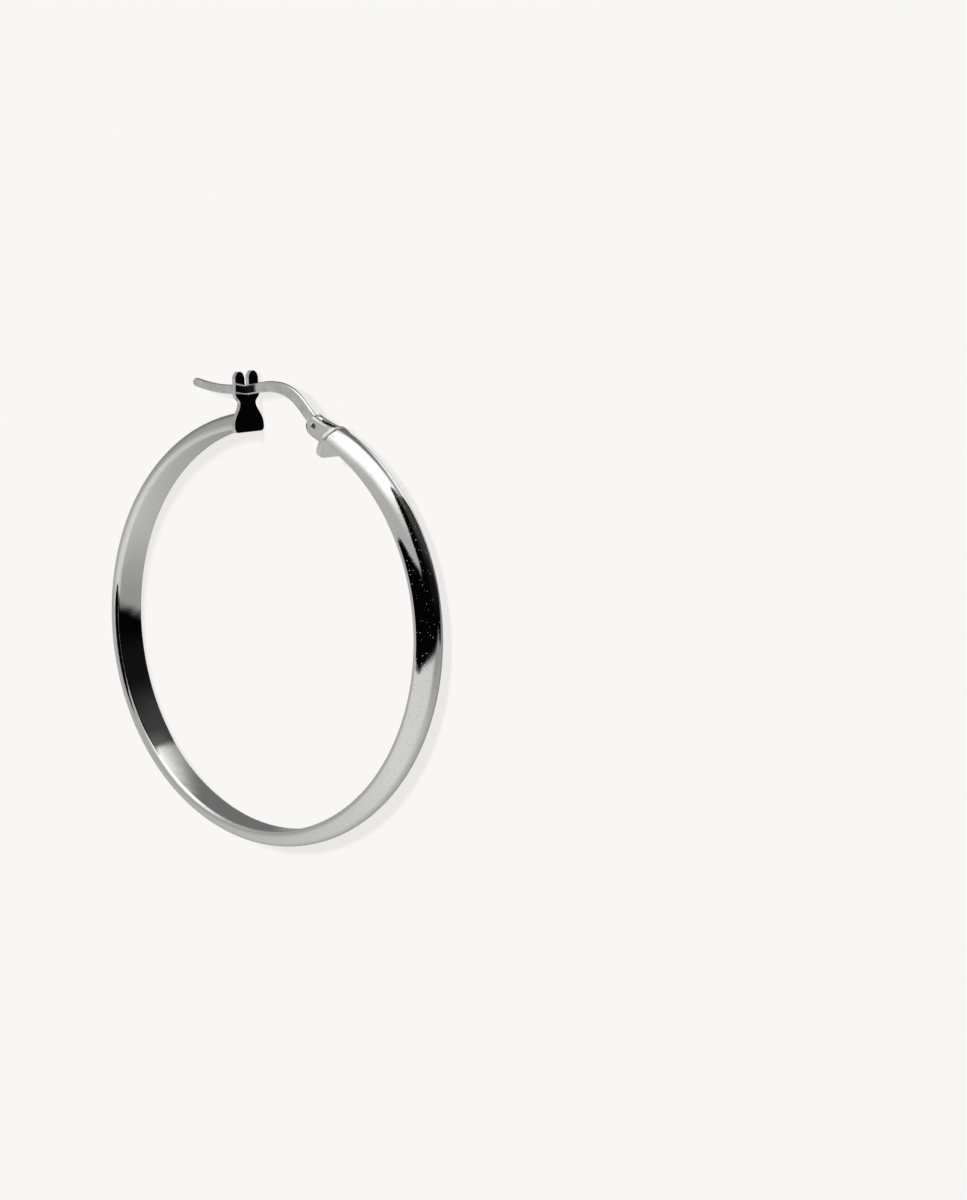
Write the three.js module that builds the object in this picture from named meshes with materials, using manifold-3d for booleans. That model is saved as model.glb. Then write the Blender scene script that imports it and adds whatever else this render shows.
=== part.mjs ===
// Hoop earring with a hinged ear wire, in millimetres.
// The hoop lies on its side: X and Y are in the plane of the hoop, and Z is the hoop's axis.
// The band is open at the top (+Y). The ear wire pivots at its right end and snaps into a slot at its left end.

import * as THREE from "three";
import { mergeVertices } from "three/addons/utils/BufferGeometryUtils.js";
import Module from "manifold-3d";

// Band: a D section, flat inside and domed outside
const hoopDiameter = 40; // over the crown of the dome
const bandWidth = 3.4; // along the hoop's axis
const bandThickness = 1.65; // from the flat inside to the crown
const domeRise = 1.0; // how far the crown stands over the side walls
const innerCornerRadius = 0.32;
const hingeEndAngle = 66.5; // degrees counterclockwise from +X
const catchEndAngle = 98.5; // degrees, about the centre of the tighter bend
const tightBendStart = 165; // degrees: from here to the catch the band is bent a little tighter
const tightBendDiameter = 38;

// Catch plate: a keyhole outline, soldered across the left end of the band
const catchPlateThickness = 0.4;
const catchPlateTurn = -3.6; // degrees from square to the band, leaning towards the gap
const footOverhang = 0.18; // both plates stand this far out past each side of the band
const catchFootDrop = 0.15; // how far the foot reaches in past the band's flat inside
const catchFootCorner = 0.5;
const waistWidth = 1.92;
const waistOverBand = 0.76; // height of the waist over the crown of the band
const slotFloorOverWaist = 0.7;
const jawOverWaist = 0.83; // height of the widest point of the flare under the two horns
const jawFlare = 0.05; // how far the flare stands out past each horn
const hornWidth = 1.13;
const hornHeight = 2.2; // from the floor of the slot to the tips
const hornTipHeight = 0.7; // height of the rounded tip
const slotClearance = 0.04; // each side of the ear wire

// Hinge plate and clevis, soldered across the right end of the band
const hingePlateThickness = 0.42;
const hingeFootDrop = 1.22;
const hingeFootCorner = 1.05;
const hingePlateOverCrown = 0.03;
const clevisEarThickness = 0.3;
const clevisEarRadius = 0.97;
const pivotReach = 2.68; // from the end of the band to the pivot
const pivotUnderCrown = 1.06;

// Ear wire: a flat lever stamped from strip
const wireThickness = 0.48; // along the pivot
const heelRadius = 0.92;
const wireDepthAtHeel = 1.12;
const wireDepthAtArch = 1.08;
const wireDepthAtSlot = 0.86;
const wireDepthAtTip = 0.76;
const wireArch = 1.72; // height of the arch over the line from the pivot to the slot
const tailLength = 6.3; // from the slot to the tip
const tailDrop = 1.45; // how far the tail turns off that line
const wireSeatGap = 0.06; // between the wire and the floor of the slot
const clevisClearance = 0.04; // each side of the ear wire

// Hinge pin
const pinRadius = 0.2;
const pinRunningClearance = 0.03;
const pinRecess = 0.08; // under the outer face of each ear

const plateEdgeBevel = 0.05;
const wireEdgeBevel = 0.06;

// The ear wire's centre line as shares of its span and its arch, from the pivot to the slot
const archLine = [
  { along: 0.0, rise: 0.0 },
  { along: 0.145, rise: 0.375 },
  { along: 0.255, rise: 0.69 },
  { along: 0.375, rise: 0.925 },
  { along: 0.525, rise: 1.0 },
  { along: 0.688, rise: 0.81 },
  { along: 0.84, rise: 0.445 },
  { along: 1.0, rise: 0.0 },
];
// The same for the tail, as shares of its length and its drop, from the slot to the tip
const tailLine = [
  { along: 0.25, drop: 0.36 },
  { along: 0.5, drop: 0.68 },
  { along: 0.75, drop: 0.88 },
  { along: 1.0, drop: 1.0 },
];

// Facets
const bandSteps = 108;
const domeFacets = 12;
const cornerFacets = 3;
const curveFacets = 8;
const roundFacets = 24;
const wireSteps = 44;

const Z_AXIS = new THREE.Vector3(0, 0, 1);
const outerRadius = hoopDiameter / 2;
const tightRadius = tightBendDiameter / 2;
const halfBand = bandWidth / 2;
const halfFoot = halfBand + footOverhang;
const slotWidth = wireThickness + 2 * slotClearance;
const clevisGap = wireThickness + 2 * clevisClearance;
const clevisWidth = clevisGap + 2 * clevisEarThickness;
const boreRadius = pinRadius + pinRunningClearance;

const wasm = await Module();
wasm.setup();

// The unit vector in the hoop's plane at an angle in degrees.
function direction(degrees) {
  const angle = THREE.MathUtils.degToRad(degrees);
  return new THREE.Vector3(Math.cos(angle), Math.sin(angle), 0);
}

// A closed geometry as a solid that can be joined or cut.
function toSolid(geometry) {
  const bare = geometry.clone();
  bare.deleteAttribute("normal");
  bare.deleteAttribute("uv");
  const merged = mergeVertices(bare, 1e-4);
  return new wasm.Manifold(
    new wasm.Mesh({
      numProp: 3,
      vertProperties: merged.getAttribute("position").array,
      triVerts: new Uint32Array(merged.index.array),
    }),
  );
}

// A solid as a geometry with flat facets.
function toGeometry(solid) {
  const mesh = solid.getMesh();
  const geometry = new THREE.BufferGeometry();
  geometry.setAttribute("position", new THREE.BufferAttribute(mesh.vertProperties, 3));
  geometry.setIndex(new THREE.BufferAttribute(mesh.triVerts, 1));
  const flat = geometry.toNonIndexed();
  flat.computeVertexNormals();
  return flat;
}

// An outline extruded evenly to both sides of its plane, with its edges broken by a small bevel.
function plate(shape, thickness, bevel) {
  const geometry = new THREE.ExtrudeGeometry(shape, {
    depth: thickness - 2 * bevel,
    curveSegments: curveFacets,
    bevelEnabled: true,
    bevelThickness: bevel,
    bevelSize: bevel,
    bevelOffset: -bevel,
    bevelSegments: 1,
  });
  return geometry.translate(0, 0, bevel - thickness / 2);
}

// A geometry moved from its own frame to an origin, with its X and Y along two given directions.
function place(geometry, origin, xAxis, yAxis) {
  const zAxis = xAxis.clone().cross(yAxis);
  const matrix = new THREE.Matrix4().makeBasis(xAxis, yAxis, zAxis).setPosition(origin);
  return geometry.applyMatrix4(matrix);
}

// A whole outline from the points of its right half, which start and end on the centre line.
function mirrored(half) {
  const left = half.slice(1, -1).reverse().map((p) => new THREE.Vector2(-p.x, p.y));
  return new THREE.Shape([...half, ...left]);
}

// The crown of the band, from the hinge end round the bottom to the catch end: a long arc and a tighter one
// that meet without a kink.
class CrownLine extends THREE.Curve {
  constructor() {
    super();
    this.tightCentre = direction(tightBendStart).multiplyScalar(outerRadius - tightRadius);
    this.longSweep = 360 + hingeEndAngle - tightBendStart;
    this.tightSweep = tightBendStart - catchEndAngle;
  }

  getPoint(t, target = new THREE.Vector3()) {
    const longLength = this.longSweep * outerRadius;
    const tightLength = this.tightSweep * tightRadius;
    const travelled = t * (longLength + tightLength);
    if (travelled <= longLength) {
      const angle = hingeEndAngle - travelled / outerRadius;
      return target.copy(direction(angle)).multiplyScalar(outerRadius);
    }
    const angle = tightBendStart - (travelled - longLength) / tightRadius;
    return target.copy(direction(angle)).multiplyScalar(tightRadius).add(this.tightCentre);
  }
}

// The band's section. X is the width, and Y is the height over the crown line, so it is never above 0.
function bandSection() {
  const inside = -bandThickness;
  const corner = innerCornerRadius;
  const domeRadius = (halfBand ** 2 + domeRise ** 2) / (2 * domeRise);
  const domeSpread = Math.asin(halfBand / domeRadius);
  const points = [];
  for (let i = 0; i <= cornerFacets; i++) {
    const angle = (-Math.PI / 2) * (1 - i / cornerFacets);
    const x = halfBand - corner + corner * Math.cos(angle);
    points.push(new THREE.Vector2(x, inside + corner + corner * Math.sin(angle)));
  }
  for (let i = 0; i <= domeFacets; i++) {
    const angle = domeSpread * (1 - (2 * i) / domeFacets);
    points.push(
      new THREE.Vector2(domeRadius * Math.sin(angle), domeRadius * (Math.cos(angle) - 1)),
    );
  }
  for (let i = 0; i <= cornerFacets; i++) {
    const angle = Math.PI + (Math.PI / 2) * (i / cornerFacets);
    const x = corner - halfBand + corner * Math.cos(angle);
    points.push(new THREE.Vector2(x, inside + corner + corner * Math.sin(angle)));
  }
  return new THREE.Shape(points);
}

function band() {
  return new THREE.ExtrudeGeometry(bandSection(), {
    steps: bandSteps,
    bevelEnabled: false,
    extrudePath: new CrownLine(),
  });
}

// Where the band ends at the catch: its crown point, its outward direction and the plate's up direction.
const catchEnd = {
  crown: new CrownLine().getPoint(1),
  outward: direction(catchEndAngle),
  up: direction(catchEndAngle + catchPlateTurn),
};
const waistHeight = catchFootDrop + bandThickness + waistOverBand;
const slotFloorHeight = waistHeight + slotFloorOverWaist;
const catchFoot = catchEnd.crown
  .clone()
  .addScaledVector(catchEnd.outward, -bandThickness / 2)
  .addScaledVector(catchEnd.up, -bandThickness / 2 - catchFootDrop);

// The keyhole outline: a bell foot, a waist, a flare and two horns with the slot between them.
// X is across the plate and Y is up from the foot.
function catchOutline() {
  const waist = waistWidth / 2;
  const slot = slotWidth / 2;
  const hornOuter = slot + hornWidth;
  const jaw = hornOuter + jawFlare;
  const jawHeight = waistHeight + jawOverWaist;
  const tipHeight = slotFloorHeight + hornHeight;
  const tipBase = tipHeight - hornTipHeight;
  const bellReach = (waistHeight - catchFootCorner) / 2;
  const half = new THREE.Path();
  half.moveTo(0, 0);
  half.lineTo(halfFoot - catchFootCorner, 0);
  half.quadraticCurveTo(halfFoot, 0, halfFoot, catchFootCorner);
  half.bezierCurveTo(
    halfFoot, catchFootCorner + bellReach,
    waist, waistHeight - 0.55 * bellReach,
    waist, waistHeight,
  );
  half.bezierCurveTo(
    waist, waistHeight + 0.45 * jawOverWaist,
    jaw, jawHeight - 0.4 * jawOverWaist,
    jaw, jawHeight,
  );
  half.quadraticCurveTo(jaw, jawHeight + 0.5 * jawOverWaist, hornOuter, jawHeight + jawOverWaist);
  half.lineTo(hornOuter, tipBase);
  half.absellipse(
    (slot + hornOuter) / 2, tipBase,
    hornWidth / 2, hornTipHeight,
    0, Math.PI, false, 0,
  );
  half.lineTo(slot, slotFloorHeight + slot);
  half.absarc(0, slotFloorHeight + slot, slot, 0, -Math.PI / 2, true);
  return mirrored(half.getPoints(curveFacets));
}

function catchPlate() {
  const geometry = plate(catchOutline(), catchPlateThickness, plateEdgeBevel);
  return place(geometry, catchFoot, Z_AXIS.clone().negate(), catchEnd.up);
}

// The hinge's own frame: its origin on the crown at the end of the band, gapward along the band's line and
// outward from the hoop's centre.
const hinge = {
  crown: direction(hingeEndAngle).multiplyScalar(outerRadius),
  gapward: direction(hingeEndAngle + 90),
  outward: direction(hingeEndAngle),
};
const pivot = hinge.crown
  .clone()
  .addScaledVector(hinge.gapward, pivotReach)
  .addScaledVector(hinge.outward, -pivotUnderCrown);

// The hinge plate follows the band's section with a margin and has a deep rounded foot.
// X is across the plate and Y is the height over the crown line.
function hingePlateOutline() {
  const foot = -bandThickness - hingeFootDrop;
  const neck = clevisWidth / 2;
  const shoulder = -domeRise - hingePlateOverCrown;
  const half = new THREE.Path();
  half.moveTo(0, foot);
  half.lineTo(halfFoot - hingeFootCorner, foot);
  half.quadraticCurveTo(halfFoot, foot, halfFoot, foot + hingeFootCorner);
  half.lineTo(halfFoot, shoulder);
  half.bezierCurveTo(
    halfFoot - 0.1 * domeRise, shoulder + 0.45 * domeRise,
    neck + 0.45 * (halfFoot - neck), hingePlateOverCrown,
    neck, hingePlateOverCrown,
  );
  half.lineTo(0, hingePlateOverCrown);
  return mirrored(half.getPoints(curveFacets));
}

function hingePlate() {
  const geometry = plate(hingePlateOutline(), hingePlateThickness, plateEdgeBevel);
  const middle = hinge.crown.clone().addScaledVector(hinge.gapward, hingePlateThickness / 2);
  return place(geometry, middle, Z_AXIS.clone(), hinge.outward);
}

// One ear of the clevis. X is gapward from the end of the band and Y is the height over the crown line.
function clevisEarOutline() {
  const root = hingePlateThickness / 2;
  const eyeY = -pivotUnderCrown;
  const topAngle = THREE.MathUtils.degToRad(58);
  const topX = pivotReach + clevisEarRadius * Math.cos(topAngle);
  const topY = eyeY + clevisEarRadius * Math.sin(topAngle);
  const shape = new THREE.Shape();
  shape.moveTo(root, hingePlateOverCrown - plateEdgeBevel);
  shape.lineTo(root, eyeY - clevisEarRadius);
  shape.lineTo(pivotReach, eyeY - clevisEarRadius);
  shape.absarc(pivotReach, eyeY, clevisEarRadius, -Math.PI / 2, topAngle, false);
  shape.quadraticCurveTo(
    pivotReach - 0.98 * clevisEarRadius, topY - 0.1 * clevisEarRadius,
    root, hingePlateOverCrown - plateEdgeBevel,
  );
  return shape;
}

function clevisEar(side) {
  const geometry = plate(clevisEarOutline(), clevisEarThickness, plateEdgeBevel);
  const middle = hinge.crown
    .clone()
    .addScaledVector(Z_AXIS, (side * (clevisGap + clevisEarThickness)) / 2);
  return place(geometry, middle, hinge.gapward, hinge.outward);
}

// A round bar on the pivot, along the hoop's axis.
function pivotBar(radius, length) {
  const bar = new THREE.CylinderGeometry(radius, radius, length, roundFacets);
  return bar.rotateX(Math.PI / 2).translate(pivot.x, pivot.y, 0);
}

// The centre of the ear wire where it lies in the slot.
const seat = catchFoot
  .clone()
  .addScaledVector(catchEnd.up, slotFloorHeight + wireSeatGap + wireDepthAtSlot / 2);

// The ear wire's centre line, from the pivot over the arch and through the slot to the tip.
function wireLine() {
  const span = seat.clone().sub(pivot);
  const along = span.clone().normalize();
  const above = along.clone().cross(Z_AXIS);
  const points = archLine.map(({ along: share, rise }) =>
    pivot
      .clone()
      .addScaledVector(span, share)
      .addScaledVector(above, rise * wireArch),
  );
  for (const { along: share, drop } of tailLine)
    points.push(
      seat
        .clone()
        .addScaledVector(along, share * tailLength)
        .addScaledVector(above, -drop * tailDrop),
    );
  return new THREE.CatmullRomCurve3(points, false, "centripetal");
}

// The wire's depth at a share of its length: it tapers from the heel to the arch, the slot and the tip.
function wireDepth(share) {
  const stops = [
    { at: 0, depth: wireDepthAtHeel },
    { at: 0.3, depth: wireDepthAtArch },
    { at: 0.6, depth: wireDepthAtSlot },
    { at: 1, depth: wireDepthAtTip },
  ];
  const next = Math.max(1, stops.findIndex((stop) => stop.at >= share));
  const [a, b] = [stops[next - 1], stops[next]];
  return THREE.MathUtils.mapLinear(share, a.at, b.at, a.depth, b.depth);
}

function wireOutline() {
  const line = wireLine();
  const upper = [];
  const lower = [];
  const tipRadius = wireDepthAtTip / 2;
  const last = 1 - tipRadius / line.getLength();
  for (let i = 0; i <= wireSteps; i++) {
    const share = (last * i) / wireSteps;
    const centre = line.getPointAt(share);
    const side = line.getTangentAt(share).cross(Z_AXIS).multiplyScalar(wireDepth(share) / 2);
    upper.push(new THREE.Vector2(centre.x + side.x, centre.y + side.y));
    lower.unshift(new THREE.Vector2(centre.x - side.x, centre.y - side.y));
  }
  const centre = line.getPointAt(last);
  const forward = line.getTangentAt(last);
  const side = forward.clone().cross(Z_AXIS);
  const tip = [];
  for (let i = 1; i < curveFacets; i++) {
    const angle = Math.PI * (0.5 - i / curveFacets);
    const point = centre
      .clone()
      .addScaledVector(side, tipRadius * Math.sin(angle))
      .addScaledVector(forward, tipRadius * Math.cos(angle));
    tip.push(new THREE.Vector2(point.x, point.y));
  }
  return new THREE.Shape([...upper, ...tip, ...lower]);
}

function heelOutline() {
  const shape = new THREE.Shape();
  shape.absarc(pivot.x, pivot.y, heelRadius, 0, 2 * Math.PI, false);
  return shape;
}

function hoopSolid() {
  const bore = toSolid(pivotBar(boreRadius, 2 * clevisWidth));
  return [catchPlate(), hingePlate(), clevisEar(1), clevisEar(-1)]
    .reduce((joined, piece) => joined.add(toSolid(piece)), toSolid(band()))
    .subtract(bore);
}

function earWireSolid() {
  const bore = toSolid(pivotBar(boreRadius, 2 * clevisWidth));
  return toSolid(plate(wireOutline(), wireThickness, wireEdgeBevel))
    .add(toSolid(plate(heelOutline(), wireThickness, wireEdgeBevel)))
    .subtract(bore);
}

function hingePinSolid() {
  return toSolid(pivotBar(pinRadius, clevisWidth - 2 * pinRecess));
}

const polishedSilver = { color: 0xd9dadb, metalness: 1, roughness: 0.1 };
const satinSilver = { color: 0xc4c5c6, metalness: 1, roughness: 0.28 };
const dulledSilver = { color: 0x8b8b8a, metalness: 1, roughness: 0.4 };

const earring = new THREE.Group();
for (const [name, solid, finish] of [
  ["hoop", hoopSolid(), polishedSilver],
  ["ear_wire", earWireSolid(), satinSilver],
  ["hinge_pin", hingePinSolid(), dulledSilver],
]) {
  const mesh = new THREE.Mesh(toGeometry(solid), new THREE.MeshStandardMaterial(finish));
  mesh.name = name;
  earring.add(mesh);
}

// The part's origin is the bottom centre of its box, so the hoop rests on Z = 0.
const box = new THREE.Box3().setFromObject(earring);
const middle = box.getCenter(new THREE.Vector3());
earring.position.set(-middle.x, -middle.y, -box.min.z);

export default earring;
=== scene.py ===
"""A polished silver hoop earring with a hinged ear wire, lying on its side in a jeweller's light tent.
Sizes are in millimetres, as a maker would write them, and each mesh is turned to metres as it is made."""

import math

import bpy
import numpy as np
from mathutils import Matrix, Vector
from mathutils.geometry import tessellate_polygon


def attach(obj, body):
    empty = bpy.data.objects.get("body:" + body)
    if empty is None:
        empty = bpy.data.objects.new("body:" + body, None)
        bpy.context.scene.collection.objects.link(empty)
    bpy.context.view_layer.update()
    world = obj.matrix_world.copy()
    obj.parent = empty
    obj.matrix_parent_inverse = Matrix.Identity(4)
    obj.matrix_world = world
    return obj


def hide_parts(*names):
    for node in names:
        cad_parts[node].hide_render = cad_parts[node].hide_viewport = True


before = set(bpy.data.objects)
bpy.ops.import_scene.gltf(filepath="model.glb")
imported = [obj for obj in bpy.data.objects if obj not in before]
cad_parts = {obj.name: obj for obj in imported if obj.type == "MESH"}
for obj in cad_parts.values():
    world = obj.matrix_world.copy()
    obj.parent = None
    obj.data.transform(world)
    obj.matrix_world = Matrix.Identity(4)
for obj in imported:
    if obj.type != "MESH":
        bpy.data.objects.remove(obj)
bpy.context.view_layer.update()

MM = 0.001
TO_MM = (1000, 1000, 1000)  # the scale that turns coordinates in metres into millimetres
HOOP_CENTRE = (0.0, -1.3578, 1.88)  # in the frame of the part, whose origin is the bottom centre of its box

# Band: a D section, flat inside and domed outside
HOOP_RADIUS = 20.0  # to the crown of the dome
TIGHT_RADIUS = 19.0  # the catch end is bent a little tighter
TIGHT_FROM = 165.0  # degrees, where the tighter bend starts
HINGE_END, CATCH_END = 66.5, 98.5  # degrees, the two ends of the band
BAND_WIDTH = 3.4
BAND_THICKNESS = 1.65
DOME_RISE = 1.0
INNER_CORNER = 0.38
INNER_BUFF = 0.1  # the wheel has taken this off the inside
COMFORT = 0.04  # how far the inside is crowned
SHOULDER = 0.06  # the edge where the dome meets the side wall, broken by buffing
BAND_STEPS = 421  # sections along the band

# Catch plate
CATCH_THICKNESS = 0.4
CATCH_TURN = -3.6  # degrees from square to the band
FOOT_OVERHANG = 0.18  # of both plates, past each side of the band
CATCH_DROP = 0.19  # under the inside of the band
CATCH_CORNER = 0.5
WAIST_WIDTH = 2.0
WAIST_OVER_BAND = 0.76
SLOT_OVER_WAIST = 0.7
JAW_OVER_WAIST = 0.83
JAW_FLARE = 0.05  # past the horns, just over the bottom of the slot
HORN_WIDTH = 1.21
HORN_HEIGHT = 2.2
HORN_TIP = 0.7
SLOT_CLEARANCE = 0.02

# Hinge plate and clevis
HINGE_THICKNESS = 0.42
HINGE_DROP = 1.22
HINGE_CORNER = 1.05
HINGE_OVER_CROWN = 0.03
EAR_UNDER_PLATE = 0.05  # from the top of the hinge plate to the top of the ears' roots
EAR_THICKNESS = 0.3
EAR_RADIUS = 0.97
EAR_NOSE = 58  # degrees round the eye, where the nose of an ear runs into its back
PIVOT_REACH = 2.68
PIVOT_UNDER_CROWN = 1.06

# Ear wire
WIRE_THICKNESS = 0.48
HEEL_RADIUS = 0.92
WIRE_DEPTHS = ((0.0, 1.12), (0.3, 1.08), (0.6, 0.86), (1.0, 0.76))  # (share of its length, depth)
WIRE_ARCH = 1.72
TAIL_LENGTH = 6.3
TAIL_DROP = 1.45
SEAT_GAP = 0.06
CLEVIS_CLEARANCE = 0.04
# (share of the way from the pivot to the seat, share of the arch), and the same of the tail and its drop
ARCH_LINE = (
    (0.0, 0.0), (0.145, 0.375), (0.255, 0.69), (0.375, 0.925),
    (0.525, 1.0), (0.688, 0.81), (0.84, 0.445), (1.0, 0.0),
)
TAIL_LINE = ((0.25, 0.36), (0.5, 0.68), (0.75, 0.88), (1.0, 1.0))

# Hinge rivet
RIVET_RADIUS = 0.2
RIVET_CLEARANCE = 0.03
RIVET_RECESS = 0.08
RIVET_HEAD = (  # (radius, drop from the middle of the end)
    (0.0, 0.0), (0.07, 0.004), (0.13, 0.014), (0.175, 0.032), (RIVET_RADIUS, 0.06),
)

# Softened edges and solder
PLATE_EDGE = 0.035
CATCH_EDGE = 0.012
EAR_BEVEL = (0.19, 0.19)  # filed off the upper ear, inwards and down
COUNTERSINK = 0.13  # round the rivet
WIRE_EDGE = (0.12, 0.22)  # inwards and down
SOLDER = 0.045  # radius of a bead
SOLDER_UNDER_EYE = 0.9  # where the beads along the ears start
SOLDER_UNDER_CROWN = 0.1  # where they end

# Camera, in degrees, millimetres and pixels of a picture 1200 high
CAMERA_TURN, CAMERA_RISE = 43.8, 6.36
CAMERA_AWAY = 3750.0
AIM_RIGHT, AIM_UP = 18.6, 2.257  # from the centre of the hoop
PIXELS_PER_MM = 11.11
PICTURE_HEIGHT = 1200
SENSOR = 36

# Light tent, in degrees. A bearing goes from +X towards +Y, and a height is up from level
TENT_CLOTH = (  # (bearing, brightness)
    (-180, 0.42), (-150, 0.45), (-120, 0.54), (-70, 0.655), (-20, 0.63), (20, 0.40),
    (60, 0.42), (110, 0.46), (140, 0.36), (165, 0.33), (180, 0.40),
)
TENT_DIMMED = (  # (height, share of the brightness)
    (-90, 0.45), (-75, 0.54), (-65, 0.6), (-45, 0.71), (-16.2, 1.0), (90, 1.0),
)
FLAG_LEFT = (  # (height, how far the black flag reaches below a bearing of 0)
    (-82, 39), (-72, 22), (-66, 14), (-58, 6.5), (-45, 10.5), (-31, 13), (0, 14.5), (15, 16), (35, 20),
    (60, 30), (72, 40), (80, 60),
)
FLAG_RIGHT = (  # (height, how far it reaches above 0)
    (-80, 190), (-74, 150), (-70, 112), (-64, 96), (-60, 84), (-52, 76), (-45, 71.6), (-37, 70),
    (-30, 70.5), (-20, 66.5), (-12, 60.5), (-4, 52), (1, 40), (4, 24), (17, 29), (30, 32.5), (40, 37.5),
    (49, 46), (57, 57), (64, 61), (78, 90),
)
FLAG_SPAN = 200.0  # a ramp holds shares of this, because it holds nothing over 1

HALF_BAND = BAND_WIDTH / 2
HALF_FOOT = HALF_BAND + FOOT_OVERHANG
SLOT = WIRE_THICKNESS / 2 + SLOT_CLEARANCE
CLEVIS_GAP = WIRE_THICKNESS + 2 * CLEVIS_CLEARANCE
CLEVIS_WIDTH = CLEVIS_GAP + 2 * EAR_THICKNESS
BORE = RIVET_RADIUS + RIVET_CLEARANCE
WAIST_HEIGHT = CATCH_DROP + BAND_THICKNESS + WAIST_OVER_BAND
SLOT_HEIGHT = WAIST_HEIGHT + SLOT_OVER_WAIST
AXIS = np.array((0.0, 0.0, 1.0))


def linear(hex_colour):
    """An sRGB hex colour as linear RGBA."""
    parts = [int(hex_colour[i:i + 2], 16) / 255 for i in (1, 3, 5)]
    return (*[c / 12.92 if c <= 0.04045 else ((c + 0.055) / 1.055) ** 2.4 for c in parts], 1.0)


def node(tree, kind, inputs=None, out=0, **settings):
    """Adds a node with its settings, values and links, and gives one of its outputs."""
    made = tree.nodes.new(kind)
    for name, value in settings.items():
        setattr(made, name, value)
    for name, value in (inputs or {}).items():
        if isinstance(value, bpy.types.NodeSocket):
            tree.links.new(value, made.inputs[name])
        else:
            made.inputs[name].default_value = value
    return made.outputs[out] if len(made.outputs) else made


def shades(ramp, stops):
    """Sets the grey stops (place, grey) of a colour ramp, given one of its outputs, and gives it back."""
    elements = ramp.node.color_ramp.elements
    while len(elements) > 1:
        elements.remove(elements[-1])
    for i, (at, grey) in enumerate(stops):
        stop = elements[0] if i == 0 else elements.new(at)
        stop.position, stop.color = at, (grey, grey, grey, 1)
    return ramp


def direction(degrees):
    """A spoke of the hoop, one millimetre long."""
    angle = math.radians(degrees)
    return np.array((math.cos(angle), math.sin(angle), 0.0))


def arc(centre, radii, start, end, steps):
    """Points of an ellipse's arc, from one angle in degrees to another."""
    angles = np.radians(np.linspace(start, end, steps + 1))
    return [(centre[0] + radii[0] * math.cos(a), centre[1] + radii[1] * math.sin(a)) for a in angles]


def bend(points, steps):
    """Points of a Bezier curve of any order."""
    made = []
    for t in np.linspace(0, 1, steps + 1):
        level = [np.array(p, float) for p in points]
        while len(level) > 1:
            level = [a * (1 - t) + b * t for a, b in zip(level, level[1:])]
        made.append(tuple(level[0]))
    return made


def tidy_line(points, gap=0.004):
    """The points without those that lie on the one before."""
    kept = [points[0]]
    for p in points[1:]:
        if math.dist(p, kept[-1]) > gap:
            kept.append(p)
    return kept


def mirrored(half):
    """A whole outline, counterclockwise, from its right half, which starts and ends on the centre line."""
    half = tidy_line(half)
    return half + [(-x, y) for x, y in reversed(half[1:-1])]


def crown_point(travelled):
    """A point of the crown line of the band, so far from the catch end."""
    tight = math.radians(TIGHT_FROM - CATCH_END) * TIGHT_RADIUS
    if travelled < tight:
        angle = CATCH_END + math.degrees(travelled / TIGHT_RADIUS)
        return direction(angle) * TIGHT_RADIUS + direction(TIGHT_FROM) * (HOOP_RADIUS - TIGHT_RADIUS)
    return direction(TIGHT_FROM + math.degrees((travelled - tight) / HOOP_RADIUS)) * HOOP_RADIUS


CATCH_UP = direction(CATCH_END + CATCH_TURN)
CATCH_FOOT = (
    crown_point(0) - direction(CATCH_END) * BAND_THICKNESS / 2 - CATCH_UP * (BAND_THICKNESS / 2 + CATCH_DROP)
)
HINGE_CROWN = direction(HINGE_END) * HOOP_RADIUS
GAPWARD, OUTWARD = direction(HINGE_END + 90), direction(HINGE_END)
PIVOT = HINGE_CROWN + GAPWARD * PIVOT_REACH - OUTWARD * PIVOT_UNDER_CROWN
SEAT = CATCH_FOOT + CATCH_UP * (SLOT_HEIGHT + SEAT_GAP + WIRE_DEPTHS[2][1] / 2)


def band_section():
    """The D section as (height over the crown line, width), with a close pair of lines beside each
    rounded edge, so that the flats stay flat when they are shaded smooth."""
    dome = (HALF_BAND ** 2 + DOME_RISE ** 2) / (2 * DOME_RISE)
    across = HALF_BAND - SHOULDER
    shoulder = -dome + math.sqrt((dome - SHOULDER) ** 2 - across ** 2)
    spread = math.degrees(math.atan2(across, shoulder + dome))
    inner = HALF_BAND - INNER_CORNER
    crease = 0.02
    inside = INNER_BUFF - BAND_THICKNESS
    low = inside + COMFORT + INNER_CORNER
    half = [(inside + COMFORT * share ** 2, inner * share) for share in np.linspace(0, 0.98, 7)]
    for angle in np.radians(np.linspace(180, 90, 9)):
        half.append((low + INNER_CORNER * math.cos(angle), inner + INNER_CORNER * math.sin(angle)))
    half += [(low + crease, HALF_BAND), (shoulder - crease, HALF_BAND)]
    for angle in np.radians(np.linspace(90, spread, 7)):
        half.append((shoulder + SHOULDER * math.cos(angle), across + SHOULDER * math.sin(angle)))
    for angle in np.radians(np.linspace(spread, 0, 33)[1:]):
        half.append((dome * (math.cos(angle) - 1), dome * math.sin(angle)))
    return half + [(h, -w) for h, w in reversed(half[1:-1])]


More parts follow.
